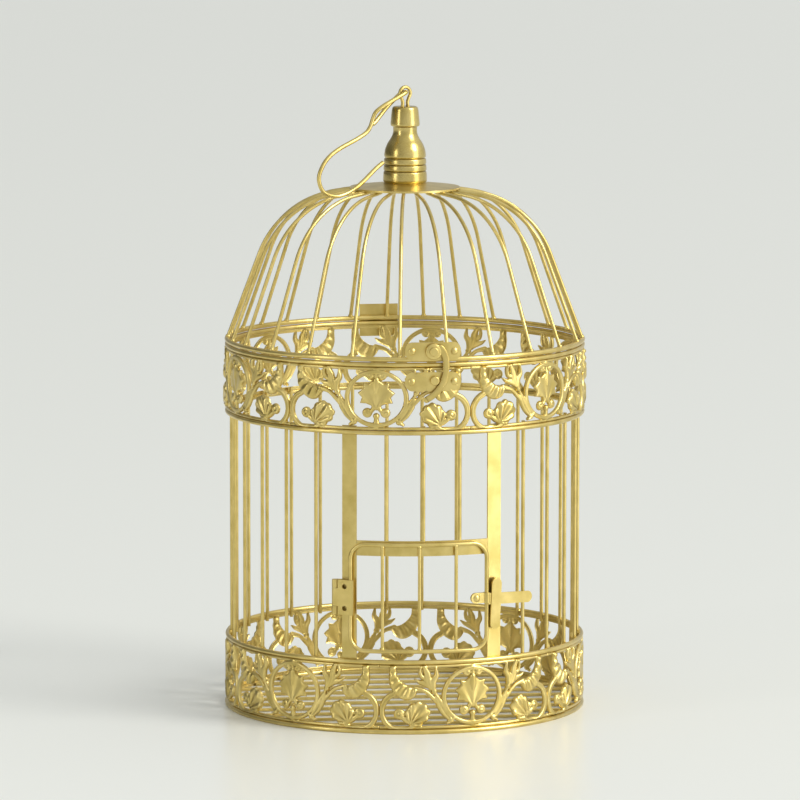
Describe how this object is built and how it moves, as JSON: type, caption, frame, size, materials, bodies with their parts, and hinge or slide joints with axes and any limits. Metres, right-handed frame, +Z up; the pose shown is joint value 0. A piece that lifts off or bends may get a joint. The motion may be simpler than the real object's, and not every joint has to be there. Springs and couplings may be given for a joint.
{
  "type": "birdcage card box",
  "caption": "Round gold wire birdcage used as a wedding card box, with filigree bands, hinged dome lid with clasp, small latched front door and a hanging hook",
  "frame": {"origin": "centre of the base ring on the surface it stands on", "axes": "+Z up along the cage axis, -Y out through the door, +X to the right of the door seen from the front"},
  "size_m": [0.2178, 0.2263, 0.375],
  "materials": {
    "gold_wire": "satin gold paint on steel wire",
    "gold_stamped": "satin gold paint on stamped sheet",
    "gold_finial": "satin gold paint on a turned knob",
    "gold_fittings": "satin gold paint on hinge, clasp and latch sheet"
  },
  "bodies": {
    "cage": {"base_ring": "gold_wire", "floor_wires": "gold_wire", "lower_band": "gold_stamped", "lower_ring": "gold_wire", "cage_bar_01": "gold_wire", "cage_bar_02": "gold_wire", "cage_bar_03": "gold_wire", "cage_bar_04": "gold_wire", "cage_bar_05": "gold_wire", "cage_bar_06": "gold_wire", "cage_bar_07": "gold_wire", "cage_bar_08": "gold_wire", "cage_bar_09": "gold_wire", "cage_bar_10": "gold_wire", "cage_bar_11": "gold_wire", "cage_bar_12": "gold_wire", "cage_bar_13": "gold_wire", "cage_bar_14": "gold_wire", "cage_bar_15": "gold_wire", "cage_bar_16": "gold_wire", "cage_bar_17": "gold_wire", "cage_bar_18": "gold_wire", "cage_bar_19": "gold_wire", "cage_bar_20": "gold_wire", "cage_bar_21": "gold_wire", "cage_bar_22": "gold_wire", "cage_bar_23": "gold_wire", "cage_bar_24": "gold_wire", "cage_bar_25": "gold_wire", "left_post": "gold_wire", "right_post": "gold_wire", "lintel": "gold_wire", "transom_bars": "gold_wire", "upper_ring": "gold_wire", "upper_band": "gold_stamped", "top_ring": "gold_wire", "door_hinge_rear_leaf": "gold_fittings", "door_hinge_pin": "gold_fittings", "lid_hinge_lower_leaf": "gold_fittings", "lid_hinge_pin": "gold_fittings", "clasp_lower_plate": "gold_fittings", "clasp_lower_rivets": "gold_fittings", "clasp_knob": "gold_fittings"},
    "lid": {"lid_ring": "gold_wire", "dome_ribs": "gold_wire", "top_disc": "gold_stamped", "finial": "gold_finial", "finial_screw": "gold_fittings", "finial_eye": "gold_wire", "lid_hinge_upper_leaf": "gold_fittings", "clasp_upper_plate": "gold_fittings", "clasp_upper_rivets": "gold_fittings", "clasp_pivot": "gold_fittings"},
    "door": {"door_frame": "gold_wire", "door_bars": "gold_wire", "door_hinge_front_leaf": "gold_fittings"},
    "door_latch": {"latch_plate": "gold_fittings", "latch_rivet": "gold_fittings"},
    "clasp_hook": {"clasp_hook": "gold_fittings"},
    "hanger": {"hanger": "gold_wire"}
  },
  "joints": [
    {"name": "lid_hinge", "type": "hinge", "parent": "cage", "child": "lid", "pos_m": [-0.00483, 0.11059, 0.2209], "axis": [-0.999, -0.0436, 0], "range_deg": [0, 110]},
    {"name": "door_hinge", "type": "hinge", "parent": "cage", "child": "door", "pos_m": [-0.05103, -0.09476, 0.081], "axis": [0, 0, -1], "range_deg": [0, 150]},
    {"name": "latch_turn", "type": "hinge", "parent": "door", "child": "door_latch", "pos_m": [0.03804, -0.10068, 0.08], "axis": [0, 0, -1], "range_deg": [0, 90]},
    {"name": "clasp_turn", "type": "hinge", "parent": "lid", "child": "clasp_hook", "pos_m": [0.00521, -0.11043, 0.2275], "axis": [0.0471, -0.9989, 0], "range_deg": [0, 100]},
    {"name": "hanger_swing", "type": "hinge", "parent": "lid", "child": "hanger", "pos_m": [0, 0, 0.371], "axis": [-0.4695, 0.8829, 0], "range_deg": [0, 200]}
  ]
}
